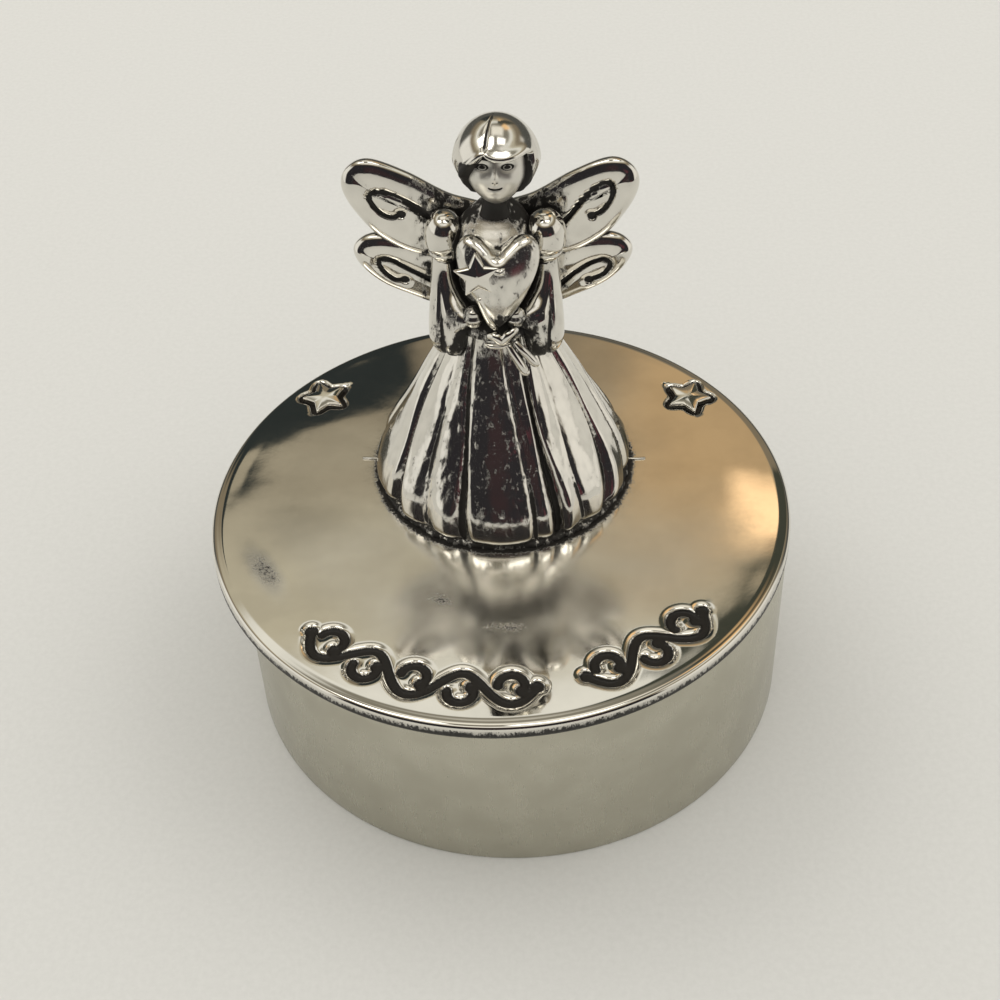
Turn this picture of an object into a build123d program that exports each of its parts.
from build123d import *
import math
import os

# A round metal keepsake box with a loose lift-off lid that carries a cast winged figure.
# Millimetres, +Z up, the front faces -Y. The origin is the centre of the box's underside.

# Box
body_diameter = 43.0
body_height = 15.6
wall_thickness = 1.0
base_thickness = 1.0
edge_softening = 0.2

# Lid. The loose lid has slid to the left by a share of the clearance round its locating ring.
lid_overhang = 1.0
lid_thickness = 1.4
lid_edge_radius = 0.45
ring_height = 2.4
ring_thickness = 1.0
ring_clearance = 1.2
lid_drift_share = 0.75

# Raised stars in small sunken pockets near the back of the lid
lid_star_radius = 1.65
lid_star_turn = 8.0
lid_star_proud = 0.25
lid_star_angle = 39.5
lid_star_margin = 2.7
pocket_depth = 0.35
pocket_clearance = 0.35
star_waist_share = 0.45
star_taper = 16.0

# Engraved vine along the front of the lid, in two groups
vine_margin = 3.5
vine_stroke = 0.72
vine_depth = 0.35
vine_sway = 1.35
curl_radius = 0.95
curl_offset = 0.35
curl_ball_radius = 0.48
curl_sweep = 215.0
vine_groups = ((-134.0, -80.0, 5), (-69.0, -37.0, 3))

# The figure stands behind the middle of the lid
figure_side_offset = 0.15
figure_back_offset = 4.5
pole_angle = 84.0

# Skirt: grooves are shares of a turn from the front, pleats bulge between them.
# Each level holds shares of the height, the hem radius and the groove depth.
skirt_radius = 10.4
skirt_height = 15.0
groove_depth = 0.75
groove_angle_shares = (-0.40, -0.27, -0.147, -0.056, 0.065, 0.182, 0.29, 0.395, 0.5)
skirt_level_shares = (
    (0.00, 0.955, 0.55),
    (0.05, 1.000, 0.90),
    (0.16, 0.970, 1.10),
    (0.36, 0.800, 1.10),
    (0.60, 0.620, 1.00),
    (0.82, 0.440, 0.75),
    (1.00, 0.320, 0.45),
)

# Sash round the waist, its bow knot and its two tails
sash_height = 1.3
sash_stand_off = 0.25
knot_side_offset = 0.55
knot_width = 2.3
knot_radius = 0.8
tail_width = 0.65
tail_drop = 2.3
tail_spread_shares = (0.45, 0.95)

# Bodice: levels hold shares of its height, its half width and its half depth
bodice_height = 8.0
bodice_half_width = 3.2
bodice_half_depth = 2.5
bodice_level_shares = (
    (0.00, 1.00, 1.00),
    (0.35, 0.96, 1.00),
    (0.75, 1.00, 0.96),
    (1.00, 0.62, 0.66),
)

# Neck and head. The neck's height is what shows between the bodice and the head.
neck_radius = 1.0
neck_height = 1.15
head_radius = 2.3
head_half_height = 2.75
head_side_offset = 0.4
head_forward_offset = 0.4
hair_thickness = 0.75
hair_fall = 1.9
fringe_height = 1.25
face_opening_half_width = 1.95

# Arms: puffed upper sleeves, hanging bell sleeves and the hands.
# Drops are measured down from the piece above and rises up from the top of the skirt.
puff_radius = 1.55
puff_half_height = 1.9
puff_side_offset = 3.7
puff_drop = 2.2
bell_top_drop = 1.1
bell_overhang = 2.3
bell_side_offset = 3.25
bell_forward_offset = 1.5
bell_half_width = 1.8
bell_half_depth = 1.75
bell_level_shares = ((0.00, 0.62), (0.10, 0.92), (0.25, 1.00), (0.60, 0.78), (1.00, 0.55))
hand_radius = 0.72
hand_half_height = 0.9
hand_side_offset = 1.45
hand_forward_offset = 3.5
hand_rise = 2.1

# Heart held in front of the chest, with the wand's star over its left half
heart_width = 5.8
heart_height = 7.0
heart_thickness = 2.3
heart_cleft_share = 0.66
heart_lobe_shares = (0.66, 1.0)
heart_shoulder_shares = (1.0, 0.42)
heart_flank_shares = (0.66, -0.32)
heart_drop = 3.9
heart_forward_offset = 3.35
heart_lean = 10.0
heart_edge_share = 0.40
wand_star_radius = 1.75
wand_star_thickness = 0.55
wand_star_side_offset = 1.35
wand_star_rise = 0.5
wand_star_turn = 14.0
stick_radius = 0.3
stick_foot_side_offset = 0.3
stick_foot_rise = 1.2

# Wings: outline points are shares of the wing's span and of its height above its root.
# The upper root is above the top of the skirt and the lower one below it.
wing_thickness = 1.4
wing_side_offset = 0.3
wing_back_offset = 1.5
wing_edge_radius = 0.5
upper_wing_span = 10.6
upper_root_rise = 3.3
upper_wing_height = 8.4
upper_wing_shares = (
    (0.28, 0.66),
    (0.55, 0.87),
    (0.80, 1.00),
    (0.95, 0.93),
    (1.00, 0.76),
    (0.93, 0.52),
    (0.76, 0.24),
    (0.48, 0.05),
)
upper_root_top_share = 0.52
lower_wing_span = 10.2
lower_root_drop = 1.1
lower_wing_height = 6.6
lower_wing_shares = (
    (0.38, 0.84),
    (0.72, 0.99),
    (0.90, 0.97),
    (1.00, 0.82),
    (0.96, 0.60),
    (0.82, 0.37),
    (0.62, 0.20),
    (0.38, 0.05),
)
lower_root_top_share = 0.74
wing_curl_stroke = 0.55
wing_curl_depth = 0.3
wing_curl_ball_radius = 0.5
wing_curl_shares = ((0.40, 0.42), (0.58, 0.62), (0.74, 0.74), (0.82, 0.68), (0.77, 0.54), (0.66, 0.49))

# Derived places
lid_top = body_height + lid_thickness
body_radius = body_diameter / 2
lid_radius = body_radius + lid_overhang
inner_radius = body_radius - wall_thickness
ring_radius = inner_radius - ring_clearance
lid_x = -ring_clearance * lid_drift_share
figure_x = lid_x + figure_side_offset
figure_y = figure_back_offset
sash_top = skirt_height + sash_height
bodice_top = sash_top + bodice_height
head_centre_height = bodice_top + neck_height + head_half_height
puff_centre_height = bodice_top - puff_drop
bell_top_height = puff_centre_height - bell_top_drop
bell_bottom_height = skirt_height - bell_overhang
heart_centre_height = bodice_top - heart_drop
upper_wing_root = skirt_height + upper_root_rise
lower_wing_root = skirt_height - lower_root_drop


def at_figure(x, y, height):
    """A point given from the figure's axis, with its height above the lid."""
    return Vector(figure_x + x, figure_y + y, lid_top + height)


def on_lid(radius, angle):
    """A point of the lid's top face, from its centre."""
    turn = math.radians(angle)
    return Vector(lid_x + radius * math.cos(turn), radius * math.sin(turn), lid_top)


def disc(radius, thickness, centre_x, bottom):
    """An upright round plate."""
    plate = Cylinder(radius, thickness, align=(Align.CENTER, Align.CENTER, Align.MIN))
    return Pos(centre_x, 0, bottom) * plate


def egg(radius, half_height):
    """A round body with an elliptic side and a tiny flat at each pole, on its own upright axis."""
    side = EllipticalCenterArc((0, 0), radius, half_height, start_angle=-pole_angle, arc_size=2 * pole_angle)
    low, high = side @ 0, side @ 1
    outline = [side, Line(high, (0, high.Y)), Line((0, high.Y), (0, low.Y)), Line((0, low.Y), low)]
    return revolve(Plane.XZ * make_face(outline), Axis.Z)


def ellipse_face(half_width, half_depth, centre):
    """A level ellipse round a point."""
    return Pos(centre) * Ellipse(half_width, half_depth)


def clear_of(piece, *neighbours):
    """The piece with its neighbours' room cut away, so that they meet face to face."""
    for neighbour in neighbours:
        piece = piece - neighbour
    return piece


def largest(piece):
    """The largest solid of a piece, without the crumbs that a cut can leave."""
    return max(piece.solids(), key=lambda solid: solid.volume)


def star_face(radius, turn):
    """A five-pointed star round the origin."""
    corners = []
    for index in range(10):
        reach = radius if index % 2 == 0 else radius * star_waist_share
        angle = math.radians(90 + turn + index * 36)
        corners.append((reach * math.cos(angle), reach * math.sin(angle)))
    return make_face(Polyline(*corners, close=True))


def groove(points, stroke):
    """The flat area of a stroke of even width along a smooth line."""
    return trace(Spline(*points), line_width=stroke)


def make_base():
    plate = disc(inner_radius, base_thickness, 0, 0)
    return fillet(plate.edges().group_by(Axis.Z)[-1], edge_softening)


def make_wall():
    wall = disc(body_radius, body_height, 0, 0) - disc(inner_radius, body_height, 0, 0)
    rims = wall.edges().filter_by(GeomType.CIRCLE)
    return fillet(rims.filter_by(lambda edge: edge.radius > inner_radius), edge_softening)


def make_ring():
    bottom = body_height - ring_height
    outer = disc(ring_radius, ring_height, lid_x, bottom)
    return outer - disc(ring_radius - ring_thickness, ring_height, lid_x, bottom)


def vine_point(angle, sway):
    """A point of the vine: its angle round the lid and its sway across the band."""
    return on_lid(lid_radius - vine_margin + sway, angle)


def vine_area(start, end, bays):
    """The flat area of one engraved group: a swaying vine with a curl and a ball in each bay."""
    step = (end - start) / bays
    line = []
    for index in range(2 * bays + 1):
        swing = math.sin(index * math.pi / 2)
        line.append(vine_point(start + index * step / 2, swing * vine_sway))
    area = groove(line, vine_stroke)
    for bay in range(bays):
        side = -1 if bay % 2 == 0 else 1
        middle = start + (bay + 0.5) * step
        centre = vine_point(middle, side * curl_offset)
        curl = CenterArc(centre, curl_radius, middle - 90, side * curl_sweep)
        area = area + trace(curl, line_width=vine_stroke)
        area = area + Pos(curl @ 1) * Circle(curl_ball_radius)
    return area


def lid_star_place(side):
    angle = lid_star_angle if side > 0 else 180 - lid_star_angle
    return on_lid(lid_radius - lid_star_margin, angle)


def make_lid():
    plate = disc(lid_radius, lid_thickness, lid_x, body_height)
    plate = fillet(plate.edges().group_by(Axis.Z)[-1], lid_edge_radius)
    for side in (-1, 1):
        pocket = Cylinder(lid_star_radius + pocket_clearance, 2 * pocket_depth)
        plate = plate - Pos(lid_star_place(side)) * pocket
    for group in vine_groups:
        plate = plate - extrude(vine_area(*group), amount=vine_depth, dir=(0, 0, -1), both=True)
    return plate


def make_lid_star(side):
    outline = star_face(lid_star_radius, -side * lid_star_turn)
    body = extrude(outline, amount=pocket_depth + lid_star_proud, taper=star_taper)
    return Pos(lid_star_place(side) - Vector(0, 0, pocket_depth)) * body


def skirt_outline(height_share, radius_share, depth_share):
    """One level of the skirt: an outward arc between each pair of neighbouring grooves."""
    radius = skirt_radius * radius_share
    root = radius - groove_depth * depth_share
    turns = [share * 360 - 90 for share in groove_angle_shares]
    turns.append(turns[0] + 360)
    arcs = []
    for start, end in zip(turns, turns[1:]):
        ends = []
        for reach, turn in ((root, start), (radius, (start + end) / 2), (root, end)):
            angle = math.radians(turn)
            ends.append((reach * math.cos(angle), reach * math.sin(angle)))
        arcs.append(ThreePointArc(*ends))
    return Pos(at_figure(0, 0, height_share * skirt_height)) * make_face(arcs)


def make_skirt():
    return loft([skirt_outline(*level) for level in skirt_level_shares])


def make_bodice():
    sections = []
    for height_share, width_share, depth_share in bodice_level_shares:
        centre = at_figure(0, 0, sash_top + bodice_height * height_share)
        section = ellipse_face(bodice_half_width * width_share, bodice_half_depth * depth_share, centre)
        sections.append(section)
    return loft(sections)


def make_sash():
    """A flat band round the waist, between the skirt and the bodice."""
    level = at_figure(0, 0, skirt_height)
    radius = skirt_radius * skirt_level_shares[-1][1] + sash_stand_off
    top = ellipse_face(bodice_half_width + sash_stand_off, bodice_half_depth + sash_stand_off,
                       at_figure(0, 0, sash_top))
    return loft([ellipse_face(radius, radius, level), top])


def waist_front():
    """The middle of the sash's front face."""
    reach = (skirt_radius * skirt_level_shares[-1][1] + bodice_half_depth) / 2 + sash_stand_off
    return at_figure(knot_side_offset, -reach, skirt_height + sash_height / 2)


def make_knot(neighbours):
    knot = Rot(0, 90, 0) * egg(knot_radius, knot_width / 2)
    return largest(clear_of(Pos(waist_front()) * knot, *neighbours))


def make_tail(spread_share, neighbours):
    """A sash tail that lies down the skirt from the knot, towards the right."""
    start = waist_front() + Vector(0, 0, -knot_radius / 2)
    slope = (1 - skirt_level_shares[-1][1]) * skirt_radius / skirt_height
    end = start + Vector(tail_drop * spread_share, -tail_drop * slope, -tail_drop)
    line = Line(start, end)
    strip = sweep(Plane(start, z_dir=end - start) * Circle(tail_width / 2), path=line)
    strip = strip + Pos(end) * Sphere(tail_width / 2)
    return largest(clear_of(strip, *neighbours))


def make_neck(bodice, head):
    """A short column that runs from inside the bodice to inside the head, less what those fill."""
    foot = at_figure(head_side_offset / 2, 0, bodice_top - neck_height / 2)
    rise = head_centre_height - bodice_top + neck_height / 2
    column = Cylinder(neck_radius, rise, align=(Align.CENTER, Align.CENTER, Align.MIN))
    return largest(clear_of(Pos(foot) * column, bodice, head))


def head_place():
    return at_figure(head_side_offset, -head_forward_offset, head_centre_height)


def make_head():
    return Pos(head_place()) * egg(head_radius, head_half_height)


def make_hair(head):
    """A smooth bob that leaves the face open, with a fringe over it."""
    radius = head_radius + hair_thickness
    crown = head_half_height + hair_thickness
    width = 2 * face_opening_half_width
    hung = (Align.CENTER, Align.CENTER, Align.MAX)
    opening = Pos(0, -radius, fringe_height) * Box(width, 2 * radius, 2 * crown, align=hung)
    below = Pos(0, 0, -hair_fall) * Box(4 * radius, 4 * radius, 2 * crown, align=hung)
    bob = clear_of(egg(radius, crown), opening, below)
    return largest(clear_of(Pos(head_place()) * bob, head))


def make_puff(side, bodice):
    centre = at_figure(side * puff_side_offset, 0, puff_centre_height)
    return largest(clear_of(Pos(centre) * egg(puff_radius, puff_half_height), bodice))


def make_bell(side, neighbours):
    """A bell sleeve that widens downwards and leans forward."""
    sections = []
    for height_share, size_share in bell_level_shares:
        centre = at_figure(
            side * (bell_side_offset + (puff_side_offset - bell_side_offset) * height_share),
            -bell_forward_offset * (1 - height_share),
            bell_bottom_height + (bell_top_height - bell_bottom_height) * height_share,
        )
        sections.append(ellipse_face(bell_half_width * size_share, bell_half_depth * size_share, centre))
    return largest(clear_of(loft(sections), *neighbours))


def heart_place():
    """The heart's own plane: its face looks forward and leans back a little at the top."""
    centre = at_figure(head_side_offset, -heart_forward_offset, heart_centre_height)
    return Pos(centre) * Rot(90 - heart_lean, 0, 0)


def heart_face(size_share):
    """A heart outline round the origin: on each side an arc over the lobe and one down to the tip."""
    half = heart_width / 2 * size_share
    top = heart_height / 2 * size_share
    cleft = (0, top * heart_cleft_share)
    tip = (0, -top)
    edges = []
    for side in (-1, 1):
        lobe = (side * half * heart_lobe_shares[0], top * heart_lobe_shares[1])
        shoulder = (side * half * heart_shoulder_shares[0], top * heart_shoulder_shares[1])
        flank = (side * half * heart_flank_shares[0], top * heart_flank_shares[1])
        edges.append(ThreePointArc(cleft, lobe, shoulder))
        edges.append(ThreePointArc(shoulder, flank, tip))
    return make_face(edges)


def make_heart(neighbours):
    """A puffed heart: a full outline in the middle that draws in towards front and back."""
    half = heart_thickness / 2
    levels = ((-half, 1 - heart_edge_share), (-half / 2, 1 - heart_edge_share / 6), (0, 1.0),
              (half / 2, 1 - heart_edge_share / 6), (half, 1 - heart_edge_share))
    body = loft([Pos(0, 0, depth) * heart_face(share) for depth, share in levels])
    return largest(clear_of(heart_place() * body, *neighbours))


def make_wand_star(heart):
    body = extrude(star_face(wand_star_radius, wand_star_turn), amount=wand_star_thickness, taper=star_taper)
    place = heart_place() * Pos(-wand_star_side_offset, wand_star_rise, heart_thickness / 2)
    back = extrude(star_face(wand_star_radius, wand_star_turn), amount=-heart_thickness / 2)
    return largest(clear_of(place * (body + back), heart))


def make_stick(neighbours):
    rise = wand_star_rise - wand_star_radius / 2
    top = (heart_place() * Pos(-wand_star_side_offset, rise, heart_thickness / 3)).position
    foot = at_figure(-stick_foot_side_offset, -hand_forward_offset, skirt_height + stick_foot_rise)
    rod = sweep(Plane(foot, z_dir=top - foot) * Circle(stick_radius), path=Line(foot, top))
    return largest(clear_of(rod, *neighbours))


def make_hand(side, neighbours):
    centre = at_figure(side * hand_side_offset, -hand_forward_offset, skirt_height + hand_rise)
    return largest(clear_of(Pos(centre) * egg(hand_radius, hand_half_height), *neighbours))


def wing_face(side, span, root, height, outline_shares, root_top_share):
    """A wing's outline in its own upright plane, from the figure's middle outwards."""
    points = [(side * span * x, root + height * z) for x, z in outline_shares]
    top = (0, root + height * root_top_share)
    bottom = (0, root)
    curve = Spline(top, *points, bottom)
    return make_face([curve, Line(bottom, top)])


def wing_curl(side, span, root, height):
    points = [(side * span * x, root + height * z) for x, z in wing_curl_shares]
    area = groove(points, wing_curl_stroke) + Pos(points[-1]) * Circle(wing_curl_ball_radius)
    return area


def make_wing(side, span, root, height, outline_shares, root_top_share, neighbours):
    """A thick flat wing with softened edges and an engraved curl on its front."""
    outline = wing_face(side, span, root, height, outline_shares, root_top_share)
    plate = extrude(outline, amount=wing_thickness / 2, both=True)
    plate = fillet(plate.edges().filter_by(lambda edge: edge.length > span), wing_edge_radius)
    front = Pos(0, 0, wing_thickness / 2)
    plate = plate - front * extrude(wing_curl(side, span, root, height), amount=wing_curl_depth, both=True)
    place = Pos(at_figure(-wing_side_offset, wing_back_offset + wing_thickness / 2, 0)) * Rot(90, 0, 0)
    return largest(clear_of(place * plate, *neighbours))


def build_nodes():
    """Every named piece of the box, its lid and the figure."""
    nodes = {}
    nodes["base_disc"] = make_base()
    nodes["box_wall"] = make_wall()
    nodes["lid_disc"] = make_lid()
    nodes["locating_ring"] = make_ring()
    for side, word in ((-1, "left"), (1, "right")):
        nodes[f"lid_star_{word}"] = make_lid_star(side)
    skirt = make_skirt()
    sash = make_sash()
    bodice = make_bodice()
    nodes["skirt"] = skirt
    nodes["waist_sash"] = sash
    nodes["bodice"] = bodice
    head = make_head()
    nodes["head"] = head
    nodes["hair"] = make_hair(head)
    nodes["neck"] = make_neck(bodice, head)
    nodes["bow_knot"] = make_knot([sash, skirt])
    heart = make_heart([bodice])
    nodes["heart"] = heart
    wand_star = make_wand_star(heart)
    nodes["wand_star"] = wand_star
    arms = []
    for side, word in ((-1, "left"), (1, "right")):
        puff = make_puff(side, bodice)
        bell = make_bell(side, [bodice, sash, skirt, puff, heart])
        hand = make_hand(side, [bodice, bell, heart, nodes["bow_knot"]])
        nodes[f"puff_sleeve_{word}"] = puff
        nodes[f"bell_sleeve_{word}"] = bell
        nodes[f"hand_{word}"] = hand
        arms += [puff, bell, hand]
    nodes["wand_stick"] = make_stick([heart, wand_star, nodes["bow_knot"]] + arms)
    tails = []
    for word, share in zip(("inner", "outer"), tail_spread_shares):
        tail = make_tail(share, [skirt, sash, nodes["bow_knot"]] + arms + tails)
        nodes[f"sash_tail_{word}"] = tail
        tails.append(tail)
    for side, word in ((-1, "left"), (1, "right")):
        upper = make_wing(side, upper_wing_span, upper_wing_root, upper_wing_height, upper_wing_shares,
                          upper_root_top_share, [bodice] + arms)
        lower = make_wing(side, lower_wing_span, lower_wing_root, lower_wing_height, lower_wing_shares,
                          lower_root_top_share, [bodice, sash, skirt, upper] + arms)
        nodes[f"upper_wing_{word}"] = upper
        nodes[f"lower_wing_{word}"] = lower
    return nodes


os.makedirs("parts", exist_ok=True)
for name, piece in build_nodes().items():
    export_step(piece, f"parts/{name}.step")
